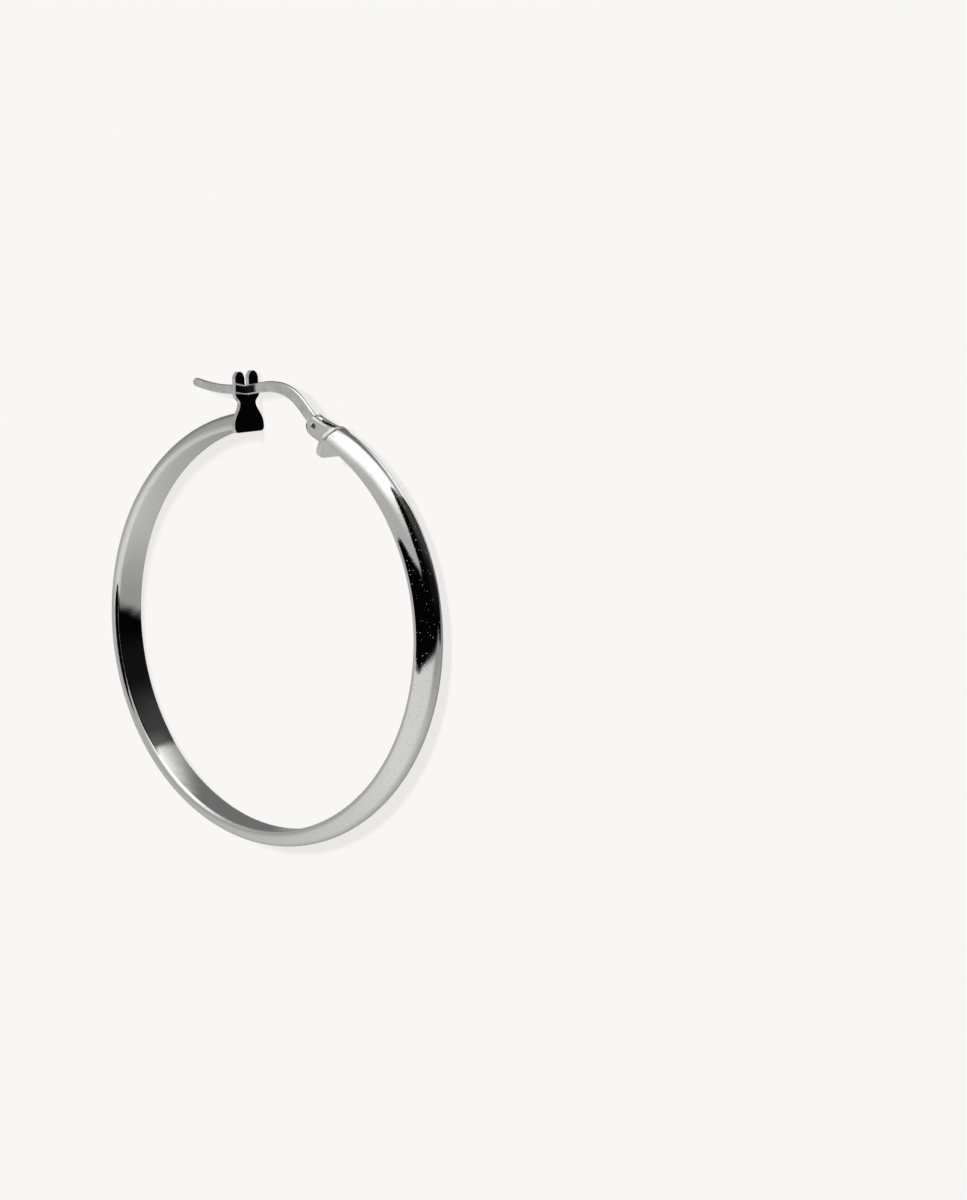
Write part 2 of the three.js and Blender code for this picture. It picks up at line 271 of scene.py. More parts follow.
def catch_outline():
    """A bell foot, a waist, a flare and two horns with the slot between them. Y is up from the foot."""
    waist, bell = WAIST_WIDTH / 2, (WAIST_HEIGHT - CATCH_CORNER) / 2
    horn = SLOT + HORN_WIDTH
    jaw, jaw_height = horn + JAW_FLARE, WAIST_HEIGHT + JAW_OVER_WAIST
    tip = SLOT_HEIGHT + HORN_HEIGHT - HORN_TIP
    return mirrored(
        [(0, 0)]
        + bend([(HALF_FOOT - CATCH_CORNER, 0), (HALF_FOOT, 0), (HALF_FOOT, CATCH_CORNER)], 10)
        + bend([(HALF_FOOT, CATCH_CORNER), (HALF_FOOT, CATCH_CORNER + bell),
                (waist, WAIST_HEIGHT - 0.55 * bell), (waist, WAIST_HEIGHT)], 24)
        + bend([(waist, WAIST_HEIGHT), (waist, WAIST_HEIGHT + 0.45 * JAW_OVER_WAIST),
                (jaw, jaw_height - 0.4 * JAW_OVER_WAIST), (jaw, jaw_height)], 16)
        + bend([(jaw, jaw_height), (jaw, jaw_height + 0.5 * JAW_OVER_WAIST),
                (horn, jaw_height + JAW_OVER_WAIST)], 10)
        + arc(((SLOT + horn) / 2, tip), (HORN_WIDTH / 2, HORN_TIP), 0, 180, 28)
        + arc((0, SLOT_HEIGHT + SLOT), (SLOT, SLOT), 0, -90, 10)
    )


def hinge_outline():
    """The band's section with a margin and a deep rounded foot. Y is the height over the crown line."""
    foot, neck, shoulder = -BAND_THICKNESS - HINGE_DROP, CLEVIS_WIDTH / 2, -DOME_RISE - HINGE_OVER_CROWN
    leaves_side = (HALF_FOOT - 0.05, shoulder + 0.28 * DOME_RISE)
    meets_neck = (neck + 0.3 * (HALF_FOOT - neck), HINGE_OVER_CROWN - 0.05)
    return mirrored(
        [(0, foot)]
        + bend([(HALF_FOOT - HINGE_CORNER, foot), (HALF_FOOT, foot), (HALF_FOOT, foot + HINGE_CORNER)], 18)
        + bend([(HALF_FOOT, shoulder), leaves_side, meets_neck, (neck, HINGE_OVER_CROWN)], 22)
        + [(0, HINGE_OVER_CROWN)]
    )


def ear_outline():
    """One ear of the clevis. X is gapward from the end of the band, Y the height over the crown line."""
    root, eye = HINGE_THICKNESS / 2, -PIVOT_UNDER_CROWN
    height = HINGE_OVER_CROWN - EAR_UNDER_PLATE
    nose = arc((PIVOT_REACH, eye), (EAR_RADIUS, EAR_RADIUS), -90, EAR_NOSE, 30)
    hollow = (PIVOT_REACH - 0.98 * EAR_RADIUS, nose[-1][1] - 0.1 * EAR_RADIUS)
    return tidy_line(
        [(root, height), (root, eye - EAR_RADIUS)] + nose + bend([nose[-1], hollow, (root, height)], 20)[:-1]
    )


def ear_wire_line():
    """The ear wire's centre line as points with even steps, and its tangents: a centripetal
    Catmull-Rom curve from the pivot over the arch and through the slot to the tip."""
    span = SEAT - PIVOT
    along = span / np.linalg.norm(span)
    above = np.cross(along, AXIS)
    stops = [PIVOT + span * share + above * rise * WIRE_ARCH for share, rise in ARCH_LINE]
    stops += [SEAT + along * share * TAIL_LENGTH - above * drop * TAIL_DROP for share, drop in TAIL_LINE]
    stops = [2 * stops[0] - stops[1], *stops, 2 * stops[-1] - stops[-2]]
    dense = []
    for a, b, c, d in zip(stops, stops[1:], stops[2:], stops[3:]):
        ta, tb, tc = (max(np.linalg.norm(q - p), 1e-6) ** 0.5 for p, q in ((a, b), (b, c), (c, d)))
        start = ((b - a) / ta - (c - a) / (ta + tb) + (c - b) / tb) * tb
        end = ((c - b) / tb - (d - b) / (tb + tc) + (d - c) / tc) * tb
        for t in np.linspace(0, 1, 40, endpoint=False):
            t2, t3 = t * t, t * t * t
            dense.append(
                b * (2 * t3 - 3 * t2 + 1) + start * (t3 - 2 * t2 + t)
                + c * (3 * t2 - 2 * t3) + end * (t3 - t2)
            )
    dense.append(stops[-2])
    dense = np.array(dense)
    reach = np.concatenate([[0], np.cumsum(np.linalg.norm(np.diff(dense, axis=0), axis=1))])
    last = reach[-1] - WIRE_DEPTHS[-1][1] / 2
    shares = np.linspace(0, last, 201)
    line = np.stack([np.interp(shares, reach, dense[:, i]) for i in range(3)], axis=1)
    tangents = np.gradient(line, axis=0)
    tangents /= np.linalg.norm(tangents, axis=1, keepdims=True)
    return line, tangents, shares / reach[-1]


def ear_wire_outline():
    """The lever with its round heel, clockwise over the top and back, as one outline in the hoop's plane."""
    line, tangents, shares = ear_wire_line()
    depth = np.interp(shares, *zip(*WIRE_DEPTHS))
    side = np.cross(tangents, AXIS) * depth[:, None] / 2
    upper, lower = (
        [tuple(p[:2]) for p in edge if np.linalg.norm(p - PIVOT) > HEEL_RADIUS + 0.01]
        for edge in (line + side, line - side)
    )
    turn = math.degrees(math.atan2(tangents[-1][1], tangents[-1][0]))
    tip = arc(line[-1][:2], (depth[-1] / 2, depth[-1] / 2), turn - 90, turn + 90, 16)[1:-1]
    start, end = (
        math.degrees(math.atan2(edge[0][1] - PIVOT[1], edge[0][0] - PIVOT[0])) for edge in (lower, upper)
    )
    if end < start:
        end += 360
    clear = 1.5  # degrees between the heel's ends and the two edges
    heel = arc(PIVOT[:2], (HEEL_RADIUS, HEEL_RADIUS), start + clear, end - clear, 48)
    return tidy_line(upper + tip + lower[::-1] + heel, 0.02)


def make_piece(name, mesh, material):
    """A new object with this mesh, and with the material unless the mesh has its own."""
    piece = bpy.data.objects.new(name, mesh)
    bpy.context.scene.collection.objects.link(piece)
    if not mesh.materials:
        mesh.materials.append(material)
    return piece


def rims(loop, inset):
    """A loop of points moved inwards by a distance, and its outward directions."""
    points = np.array(loop, float)
    edges = np.roll(points, -1, axis=0) - points
    edges /= np.linalg.norm(edges, axis=1, keepdims=True)
    facing = np.stack([edges[:, 1], -edges[:, 0]], axis=1)
    joint = facing + np.roll(facing, 1, axis=0)
    joint /= np.linalg.norm(joint, axis=1, keepdims=True)
    spare = np.clip((joint * facing).sum(axis=1), 0.75, 1)[:, None]
    return points - joint * inset / spare, joint


def rounded(inwards, down):
    """A rounded edge as (inwards, down from the face, degrees that the surface leans to the face)."""
    return [(inwards * (1 - math.cos(a)), down * (1 - math.sin(a)),
             math.degrees(math.atan2(inwards * math.sin(a), down * math.cos(a))))
            for a in np.linspace(0, math.pi / 2, 7)]


def filed(inwards, down):
    """An edge filed to a flat bevel, in the same terms, with a close pair of lines at each corner."""
    lean, crease = math.degrees(math.atan2(inwards, down)), 0.012
    return [(0, down + crease, 0), (0, down, lean), (inwards, 0, lean), (inwards + crease, 0, 90)]


def stamped(name, loops, thickness, edges, origin, x_axis, y_axis, material):
    """A piece stamped from sheet: an outline, counterclockwise, and any holes, clockwise, each with the
    profile of its edge. It lies in the plane of the two axes and is centred on its own thickness."""
    z_axis = np.cross(x_axis, y_axis)
    places, normals, faces, caps = [], [], [], [[], []]
    for loop, edge in zip(loops, edges):
        count, first = len(loop), len(places)
        low = [(inwards, down - thickness / 2, -lean) for inwards, down, lean in edge[::-1]]
        high = [(inwards, thickness / 2 - down, lean) for inwards, down, lean in edge]
        for inwards, height, lean in low + high:
            points, joint = rims(loop, inwards)
            lean = math.radians(lean)
            places += [(x, y, height) for x, y in points]
            normals += [(*(j * math.cos(lean)), math.sin(lean)) for j in joint]
        rings = len(low) + len(high)
        for r in range(rings - 1):
            a, b = first + r * count, first + (r + 1) * count
            faces += [(a + i, a + (i + 1) % count, b + (i + 1) % count, b + i) for i in range(count)]
        caps[0].append(range(first, first + count))
        caps[1].append(range(first + (rings - 1) * count, first + rings * count))
    for rows, upwards in zip(caps, (False, True)):
        flat = [i for row in rows for i in row]
        for corner in tessellate_polygon([[Vector((*places[i][:2], 0)) for i in row] for row in rows]):
            a, b, c = (places[flat[i]] for i in corner)
            turns_left = (b[0] - a[0]) * (c[1] - a[1]) > (b[1] - a[1]) * (c[0] - a[0])
            order = corner if turns_left == upwards else corner[::-1]
            faces.append(tuple(flat[i] for i in order))
    turn = np.stack([x_axis, y_axis, z_axis])
    mesh = bpy.data.meshes.new(name)
    placed = (np.array(places) @ turn + origin + HOOP_CENTRE) * MM
    mesh.from_pydata([tuple(p) for p in placed], [], faces)
    mesh.polygons.foreach_set("use_smooth", [True] * len(mesh.polygons))
    mesh.normals_split_custom_set_from_vertices([tuple(n) for n in np.array(normals) @ turn])
    mesh.validate()
    return make_piece(name, mesh, material)


def swept(name, guide, tree, sizes, material):
    """Runs a Geometry Nodes tree on a guide mesh, and keeps its result as a plain mesh."""
    guide_object = bpy.data.objects.new(name + "_guide", guide)
    bpy.context.scene.collection.objects.link(guide_object)
    modifier = guide_object.modifiers.new("shape", "NODES")
    modifier.node_group = tree
    named = {s.name: s.identifier for s in tree.interface.items_tree if s.in_out == "INPUT"}
    for size, value in {**sizes, "Material": material}.items():
        modifier[named[size]] = value
    graph = bpy.context.evaluated_depsgraph_get()
    mesh = bpy.data.meshes.new_from_object(guide_object.evaluated_get(graph), depsgraph=graph)
    mesh.name = name
    guide_object.modifiers.clear()
    bpy.data.objects.remove(guide_object)
    bpy.data.meshes.remove(guide)
    return make_piece(name, mesh, material)


def line_mesh(name, lines, closed):
    """A mesh of bare edges: the guide that a sweep follows or the section that it carries."""
    points, edges = [], []
    for line in lines:
        first = len(points)
        points += [tuple(np.array(p) * MM) for p in line]
        edges += [(first + i, first + i + 1) for i in range(len(line) - 1)]
        if closed:
            edges.append((len(points) - 1, first))
    mesh = bpy.data.meshes.new(name)
    mesh.from_pydata(points, edges, [])
    return mesh


def new_tree(name, sizes):
    """An empty Geometry Nodes tree with named inputs for its sizes."""
    tree = bpy.data.node_groups.new(name, "GeometryNodeTree")
    tree.interface.new_socket("Geometry", in_out="INPUT", socket_type="NodeSocketGeometry")
    for size, kind in sizes.items():
        tree.interface.new_socket(size, in_out="INPUT", socket_type=kind)
    tree.interface.new_socket("Geometry", in_out="OUTPUT", socket_type="NodeSocketGeometry")
    return tree, tree.nodes.new("NodeGroupInput").outputs


def end_tree(tree, geometry, given):
    """Ends a tree: real geometry, shaded smooth, with its material."""
    smooth = node(tree, "GeometryNodeSetShadeSmooth", {"Geometry": geometry, "Shade Smooth": True})
    real = node(tree, "GeometryNodeRealizeInstances", {"Geometry": smooth})
    finished = node(tree, "GeometryNodeSetMaterial", {"Geometry": real, "Material": given["Material"]})
    node(tree, "NodeGroupOutput", {"Geometry": finished})


def band_tree():
    """Carries the section along the crown line: a tight bend from the catch end, then the long round."""
    tree, given = new_tree("band bent round the mandrel", {
        "Round radius": "NodeSocketFloat", "Tight radius": "NodeSocketFloat",
        "Catch end": "NodeSocketFloat", "Tight bend ends": "NodeSocketFloat",
        "Hinge end": "NodeSocketFloat", "Steps": "NodeSocketInt",
        "Centre": "NodeSocketVector", "Material": "NodeSocketMaterial",
    })
    share = node(tree, "GeometryNodeSplineParameter", out="Factor")
    sweep = node(tree, "ShaderNodeMath", {0: given["Tight bend ends"], 1: given["Catch end"]},
                 operation="SUBTRACT")
    tight_length = node(tree, "ShaderNodeMath", {0: sweep, 1: given["Tight radius"]}, operation="MULTIPLY")
    sweep = node(tree, "ShaderNodeMath", {0: given["Hinge end"], 1: given["Tight bend ends"]},
                 operation="SUBTRACT")
    length = node(tree, "ShaderNodeMath", {0: sweep, 1: given["Round radius"], 2: tight_length},
                  operation="MULTIPLY_ADD")
    travelled = node(tree, "ShaderNodeMath", {0: share, 1: length}, operation="MULTIPLY")
    past_tight = node(tree, "ShaderNodeMath", {0: travelled, 1: tight_length}, operation="SUBTRACT")
    is_round = node(tree, "ShaderNodeMath", {0: past_tight, 1: 0.0}, operation="GREATER_THAN")
    radius = node(tree, "ShaderNodeMix", {0: is_round, 2: given["Tight radius"], 3: given["Round radius"]})
    turned = node(tree, "ShaderNodeMath", {0: past_tight, 1: radius}, operation="DIVIDE")
    angle = node(tree, "ShaderNodeMath", {0: given["Tight bend ends"], 1: turned}, operation="ADD")
    spoke = node(tree, "ShaderNodeCombineXYZ", {
        "X": node(tree, "ShaderNodeMath", {0: angle}, operation="COSINE"),
        "Y": node(tree, "ShaderNodeMath", {0: angle}, operation="SINE"),
    })
    from_centre = node(tree, "ShaderNodeVectorMath", {0: spoke, "Scale": radius}, operation="SCALE")
    shift = node(tree, "ShaderNodeMath", {0: given["Round radius"], 1: radius}, operation="SUBTRACT")
    aside = node(tree, "ShaderNodeCombineXYZ", {
        "X": node(tree, "ShaderNodeMath", {0: given["Tight bend ends"]}, operation="COSINE"),
        "Y": node(tree, "ShaderNodeMath", {0: given["Tight bend ends"]}, operation="SINE"),
    })
    centre = node(tree, "ShaderNodeVectorMath", {0: aside, "Scale": shift}, operation="SCALE")
    place = node(tree, "ShaderNodeVectorMath", {0: from_centre, 1: centre}, operation="ADD")
    straight = node(tree, "GeometryNodeCurvePrimitiveLine")
    cut = node(tree, "GeometryNodeResampleCurve", {"Curve": straight, "Count": given["Steps"]})
    bent = node(tree, "GeometryNodeSetPosition", {"Geometry": cut, "Position": place})
    upright = node(tree, "GeometryNodeSetCurveNormal", {"Curve": bent}, mode="Z_UP")
    section = node(tree, "GeometryNodeMeshToCurve", {"Mesh": given["Geometry"]})
    band = node(tree, "GeometryNodeCurveToMesh",
                {"Curve": upright, "Profile Curve": section, "Fill Caps": True})
    moved = node(tree, "GeometryNodeTransform", {"Geometry": band, "Translation": given["Centre"]})
    end_tree(tree, moved, given)
    return tree


def solder_tree():
    """Runs a thin bead of solder along each line of the guide."""
    tree, given = new_tree("solder drawn along a joint", {
        "Bead radius": "NodeSocketFloat", "Sides": "NodeSocketInt", "Material": "NodeSocketMaterial",
    })
    joint = node(tree, "GeometryNodeMeshToCurve", {"Mesh": given["Geometry"]})
    bead = node(tree, "GeometryNodeCurvePrimitiveCircle",
                {"Radius": given["Bead radius"], "Resolution": given["Sides"]})
    run = node(tree, "GeometryNodeCurveToMesh", {"Curve": joint, "Profile Curve": bead, "Fill Caps": True})
    end_tree(tree, run, given)
    return tree


def bend_band(material):
    """The band, from the catch plate round to the hinge plate."""
    section = line_mesh("band_section", [[(h, w, 0) for h, w in band_section()]], closed=True)
    return swept("hoop_band", section, band_tree(), {
        "Round radius": HOOP_RADIUS * MM, "Tight radius": TIGHT_RADIUS * MM,
        "Catch end": math.radians(CATCH_END), "Tight bend ends": math.radians(TIGHT_FROM),
        "Hinge end": math.radians(360 + HINGE_END), "Steps": BAND_STEPS,
        "Centre": tuple(c * MM for c in HOOP_CENTRE),
    }, material)


def on_plane(points, origin, x_axis, y_axis):
    """Points (x, y, z) of a plate's own frame in the frame of the part, in millimetres."""
    turn = np.stack([x_axis, y_axis, np.cross(x_axis, y_axis)])
    return np.array(points) @ turn + origin + HOOP_CENTRE


def run_solder(tree, material):
    """Beads where the band meets its two plates, and where the ears of the clevis meet theirs."""
    height = BAND_THICKNESS + CATCH_DROP
    at_catch = [(w, height + h, -CATCH_THICKNESS / 2) for h, w in band_section()]
    at_hinge = [(w, h, -HINGE_THICKNESS / 2) for h, w in band_section()]
    up_the_ear = np.linspace(-PIVOT_UNDER_CROWN - SOLDER_UNDER_EYE, -SOLDER_UNDER_CROWN, 12)
    ears = [[(HINGE_THICKNESS, y, side * CLEVIS_WIDTH / 2) for y in up_the_ear] for side in (1, -1)]
    sizes = {"Bead radius": SOLDER * MM, "Sides": 12}
    return [
        swept("solder_at_catch", line_mesh("catch_joint", [
            on_plane(at_catch, CATCH_FOOT, -AXIS, CATCH_UP)], closed=True), tree, sizes, material),
        swept("solder_at_hinge", line_mesh("hinge_joint", [
            on_plane(at_hinge, HINGE_CROWN + GAPWARD * HINGE_THICKNESS / 2, AXIS, OUTWARD)], closed=True),
            tree, sizes, material),
        swept("solder_at_clevis", line_mesh("clevis_joint", [
            on_plane(line, HINGE_CROWN, GAPWARD, OUTWARD) for line in ears], closed=False),
            tree, sizes, material),
    ]


def cut_plates(polished, filed_flat):
    """The catch plate, and the hinge plate with the two ears of its clevis."""
    bore = arc((PIVOT_REACH, -PIVOT_UNDER_CROWN), (BORE, BORE), 0, -360, 36)[:-1]
    crisp, softened = rounded(CATCH_EDGE, CATCH_EDGE), rounded(PLATE_EDGE, PLATE_EDGE)
    dished = rounded(COUNTERSINK, COUNTERSINK)
    pieces = [
        stamped("catch_plate", [catch_outline()], CATCH_THICKNESS, [crisp],
                CATCH_FOOT, -AXIS, CATCH_UP, polished),
        stamped("hinge_plate", [hinge_outline()], HINGE_THICKNESS, [softened],
                HINGE_CROWN + GAPWARD * HINGE_THICKNESS / 2, AXIS, OUTWARD, filed_flat),
    ]
    for name, side, edge in (("clevis_ear_upper", 1, filed(*EAR_BEVEL)), ("clevis_ear_lower", -1, softened)):
        pieces.append(stamped(
            name, [ear_outline(), bore], EAR_THICKNESS, [edge, dished],
            HINGE_CROWN + AXIS * side * (CLEVIS_GAP + EAR_THICKNESS) / 2, GAPWARD, OUTWARD, polished))
    return pieces


def cut_ear_wire(material):
    """The lever, with the bore for the rivet through its heel."""
    bore = arc(PIVOT[:2], (BORE, BORE), 0, -360, 36)[:-1]
    x_axis, y_axis = np.array((1.0, 0, 0)), np.array((0, 1.0, 0))
    return stamped("ear_wire_lever", [ear_wire_outline(), bore], WIRE_THICKNESS,
                   [rounded(*WIRE_EDGE), rounded(PLATE_EDGE, PLATE_EDGE)],
                   np.zeros(3), x_axis, y_axis, material)


def set_rivet(material):
    """The hinge rivet: a round bar with slightly domed, upset ends."""
    end = CLEVIS_WIDTH / 2 - RIVET_RECESS
    half = [(r, end - drop) for r, drop in RIVET_HEAD]
    profile = half + [(r, -z) for r, z in reversed(half)]
    around = 40
    places = [(0, 0, end)]
    for radius, z in profile[1:-1]:
        ring = arc((0, 0), (radius, radius), 0, 360, around)[:-1]
        places += [(x, y, z) for x, y in ring]
    places.append((0, 0, -end))
    faces, rings = [], len(profile) - 2
    for i in range(around):
        j = (i + 1) % around
        faces.append((0, 1 + i, 1 + j))
        for r in range(rings - 1):
            a, b = 1 + r * around, 1 + (r + 1) * around
            faces.append((a + j, a + i, b + i, b + j))
        a = 1 + (rings - 1) * around
        faces.append((len(places) - 1, a + j, a + i))
    mesh = bpy.data.meshes.new("hinge_rivet")
    placed = (np.array(places) + PIVOT + HOOP_CENTRE) * MM
    mesh.from_pydata([tuple(p) for p in placed], [], faces)
    mesh.polygons.foreach_set("use_smooth", [True] * len(mesh.polygons))
    return make_piece("hinge_rivet", mesh, material)


def new_finish(name):
    """An empty material, and its node tree."""
    material = bpy.data.materials.new(name)
    material.use_nodes = True
    tree = material.node_tree
    tree.nodes.clear()
    return material, tree


def in_millimetres(tree):
    """Object coordinates in millimetres."""
    place = node(tree, "ShaderNodeTexCoord", out="Object")
    return node(tree, "ShaderNodeMapping", {"Vector": place, "Scale": TO_MM})


def round_the_hoop(tree):
    """Object coordinates turned into (way round the hoop, height, distance from its axis), in
    millimetres. The turn puts the start of the way round in the middle of the gap between the plates."""
    place = node(tree, "ShaderNodeTexCoord", out="Object")
    centred = node(tree, "ShaderNodeVectorMath", {0: place, 1: [c * MM for c in HOOP_CENTRE]},
                   operation="SUBTRACT")
    turn = math.radians(180 - (HINGE_END + CATCH_END) / 2)
    turned = node(tree, "ShaderNodeMapping", {
        "Vector": centred, "Rotation": (0, 0, turn), "Scale": TO_MM})
    parts = node(tree, "ShaderNodeSeparateXYZ", {0: turned}).node
    x, y, z = parts.outputs
    angle = node(tree, "ShaderNodeMath", {0: y, 1: x}, operation="ARCTAN2")
    way = node(tree, "ShaderNodeMath", {0: angle, 1: HOOP_RADIUS}, operation="MULTIPLY")
    square = node(tree, "ShaderNodeMath", {0: y, 1: y}, operation="MULTIPLY")
    squares = node(tree, "ShaderNodeMath", {0: x, 1: x, 2: square}, operation="MULTIPLY_ADD")
    reach = node(tree, "ShaderNodeMath", {0: squares}, operation="SQRT")
    return node(tree, "ShaderNodeCombineXYZ", {"X": way, "Y": z, "Z": reach})


def polished_silver(name, pinholes):
    """Sterling silver, rhodium flashed and buffed on a wheel. The eye sees a mirror whose reflections have
    finely torn edges, because the wheel leaves long shallow ripples along the band, and on the dome of
    the band a few bright pinholes."""
    material, tree = new_finish(name)
    place = round_the_hoop(tree)
    ripples = node(tree, "ShaderNodeTexNoise", {
        "Vector": node(tree, "ShaderNodeMapping", {"Vector": place, "Scale": (1.6, 7.0, 7.0)}),
        "Scale": 1.0, "Detail": 4.0, "Roughness": 0.75})  # ripples about 0.6 mm long and 0.14 mm apart
    hairlines = node(tree, "ShaderNodeTexNoise", {
        "Vector": node(tree, "ShaderNodeMapping", {"Vector": place, "Scale": (0.5, 20.0, 20.0)}),
        "Scale": 1.0, "Detail": 2.0})  # buffing lines 0.05 mm apart
    roughness = node(tree, "ShaderNodeMapRange", {
        "Value": hairlines, "From Min": 0.3, "From Max": 0.7, "To Min": 0.01, "To Max": 0.035})
    if pinholes:
        spots = node(tree, "ShaderNodeTexVoronoi", {"Vector": place, "Scale": 3.1}).node
        size = node(tree, "ShaderNodeMapRange", {
            "Value": node(tree, "ShaderNodeSeparateColor", {0: spots.outputs["Color"]}),
            "From Min": 0.0, "From Max": 1.0, "To Min": 0.05, "To Max": 0.2})
        in_spot = node(tree, "ShaderNodeMath", {0: spots.outputs["Distance"], 1: size},
                       operation="LESS_THAN")
        reach = node(tree, "ShaderNodeSeparateXYZ", {0: place}, out="Z")
        dome_starts = HOOP_RADIUS - DOME_RISE + 0.05
        on_dome = node(tree, "ShaderNodeMath", {0: reach, 1: dome_starts}, operation="GREATER_THAN")
        pitted = node(tree, "ShaderNodeMath", {0: in_spot, 1: on_dome}, operation="MULTIPLY")
        roughness = node(tree, "ShaderNodeMix", {0: pitted, 2: roughness, 3: 0.8})
    swells = node(tree, "ShaderNodeTexNoise", {"Vector": place, "Scale": 0.45, "Detail": 1.0})  # 2 mm apart
    swelling = node(tree, "ShaderNodeBump", {"Height": swells, "Distance": 0.03 * MM, "Strength": 1.0})
    rippled = node(tree, "ShaderNodeBump", {"Height": ripples, "Distance": 0.005 * MM, "Strength": 1.0,
                                            "Normal": swelling})
    shader = node(tree, "ShaderNodeBsdfPrincipled", {
        "Base Color": linear("#f4f4f3"), "Metallic": 1.0, "Roughness": roughness, "Normal": rippled})
    node(tree, "ShaderNodeOutputMaterial", {"Surface": shader})
    return material


def filed_silver():
    """Sterling silver sheet dressed with a fine file across the band. The eye sees soft streaks that run
    out from the hoop, with a paler, blurred sheen."""
    material, tree = new_finish("file-dressed sterling silver sheet")
    place = round_the_hoop(tree)
    strokes = node(tree, "ShaderNodeTexNoise", {
        "Vector": node(tree, "ShaderNodeMapping", {"Vector": place, "Scale": (4.0, 5.5, 0.7)}),
        "Scale": 1.0, "Detail": 3.0})  # strokes 0.2 mm apart and over 1 mm long, coarser than real ones
    roughness = node(tree, "ShaderNodeMapRange", {
        "Value": strokes, "From Min": 0.3, "From Max": 0.7, "To Min": 0.3, "To Max": 0.48})
    cut = node(tree, "ShaderNodeBump", {"Height": strokes, "Distance": 0.06 * MM, "Strength": 1.0})
    shader = node(tree, "ShaderNodeBsdfPrincipled", {
        "Base Color": linear("#f8f8f7"), "Metallic": 1.0, "Roughness": roughness, "Normal": cut})
    node(tree, "ShaderNodeOutputMaterial", {"Surface": shader})
    return material


def satin_silver():
    """Sterling silver stamped from strip and tumbled. The eye sees an even soft grey with faint patches
    and grain, and no sharp reflections."""
    material, tree = new_finish("tumbled sterling silver strip")
    place = in_millimetres(tree)
    patches = node(tree, "ShaderNodeTexNoise", {"Vector": place, "Scale": 1.6, "Detail": 3.0})
    grain = node(tree, "ShaderNodeTexNoise", {"Vector": place, "Scale": 9.0, "Detail": 2.0})
    roughness = node(tree, "ShaderNodeMapRange", {
        "Value": patches, "From Min": 0.3, "From Max": 0.7, "To Min": 0.11, "To Max": 0.17})
    swell = node(tree, "ShaderNodeBump", {"Height": patches, "Distance": 0.02 * MM, "Strength": 1.0})
    bumped = node(tree, "ShaderNodeBump", {"Height": grain, "Distance": 0.002 * MM, "Strength": 1.0,
                                           "Normal": swell})
    worn = node(tree, "ShaderNodeMapRange", {"Value": patches, "From Min": 0.38, "From Max": 0.66})
    tone = node(tree, "ShaderNodeMix", {
        0: worn, 6: linear("#e4e4e3"), 7: linear("#f6f6f5")}, out=2, data_type="RGBA")
    shader = node(tree, "ShaderNodeBsdfPrincipled", {
        "Base Color": tone, "Metallic": 1.0, "Roughness": roughness, "Normal": bumped})
    node(tree, "ShaderNodeOutputMaterial", {"Surface": shader})
    return material


def dulled_silver():
    """Silver for the ends of the rivet, painted a dark mottled grey that stands for the shade in the clevis
    bore. The eye sees a dark, matt point.
    """
    material, tree = new_finish("rivet silver with painted shade")
    place = in_millimetres(tree)
    bloom = node(tree, "ShaderNodeTexNoise", {"Vector": place, "Scale": 7.0, "Detail": 3.0})
    # painted shade: the dark greys stand for the shade in the bore round the rivet, and the noise mottles
    # them at random
    tone = node(tree, "ShaderNodeMix", {
        0: bloom, 6: linear("#4a4a4b"), 7: linear("#8b8b8a")}, out=2, data_type="RGBA")
    bumped = node(tree, "ShaderNodeBump", {"Height": bloom, "Distance": 0.006 * MM, "Strength": 1.0})
    shader = node(tree, "ShaderNodeBsdfPrincipled", {
        "Base Color": tone, "Metallic": 1.0, "Roughness": 0.42, "Normal": bumped})
    node(tree, "ShaderNodeOutputMaterial", {"Surface": shader})
    return material


def solder_silver():
    """Hard silver solder, whitened in the pickle. The eye sees a matt, pale grey line along each joint."""
    material, tree = new_finish("hard silver solder")
    place = in_millimetres(tree)
    lumps = node(tree, "ShaderNodeTexNoise", {"Vector": place, "Scale": 5.0, "Detail": 2.0})
    bumped = node(tree, "ShaderNodeBump", {"Height": lumps, "Distance": 0.02 * MM, "Strength": 1.0})
    shader = node(tree, "ShaderNodeBsdfPrincipled", {
        "Base Color": linear("#e9e9e7"), "Metallic": 1.0, "Roughness": 0.68, "Normal": bumped})
    node(tree, "ShaderNodeOutputMaterial", {"Surface": shader})
    return material


def white_paper():
    """A sheet of matt white card. The eye sees a plain pale floor."""
    material, tree = new_finish("matt white card")
    shader = node(tree, "ShaderNodeBsdfPrincipled", {
        "Base Color": linear("#f6f5f3"), "Roughness": 0.95, "Specular IOR Level": 0.0})
    node(tree, "ShaderNodeOutputMaterial", {"Surface": shader})
    return material


def lay_floor():
    """A square floor, in metres. The silver doesn't mirror it, because the tent goes on below it."""
    half = 4.0
    mesh = bpy.data.meshes.new("floor")
    corners = [(-half, -half, 0), (half, -half, 0), (half, half, 0), (-half, half, 0)]
    mesh.from_pydata(corners, [], [(0, 1, 2, 3)])
    floor = make_piece("floor", mesh, white_paper())
    floor.visible_glossy = False


def hang_panel(tree, light, brightness, *edges):
    """Covers a part of the light tent. Each edge is a bearing or a height in degrees, where the panel
    begins to show and where it covers all."""
    share = 1.0
    for value, begins, covers in edges:
        edge = node(tree, "ShaderNodeMapRange", {
            "Value": value, "From Min": begins, "From Max": covers}, interpolation_type="SMOOTHSTEP")
        share = node(tree, "ShaderNodeMath", {0: share, 1: edge}, operation="MULTIPLY")
    return node(tree, "ShaderNodeMix", {0: share, 2: light, 3: brightness})


def by_share(stops, degrees):
    """Stops (angle, value), with each angle as its share of the way across so many degrees about 0."""
    return [(0.5 + angle / degrees, value) for angle, value in stops]


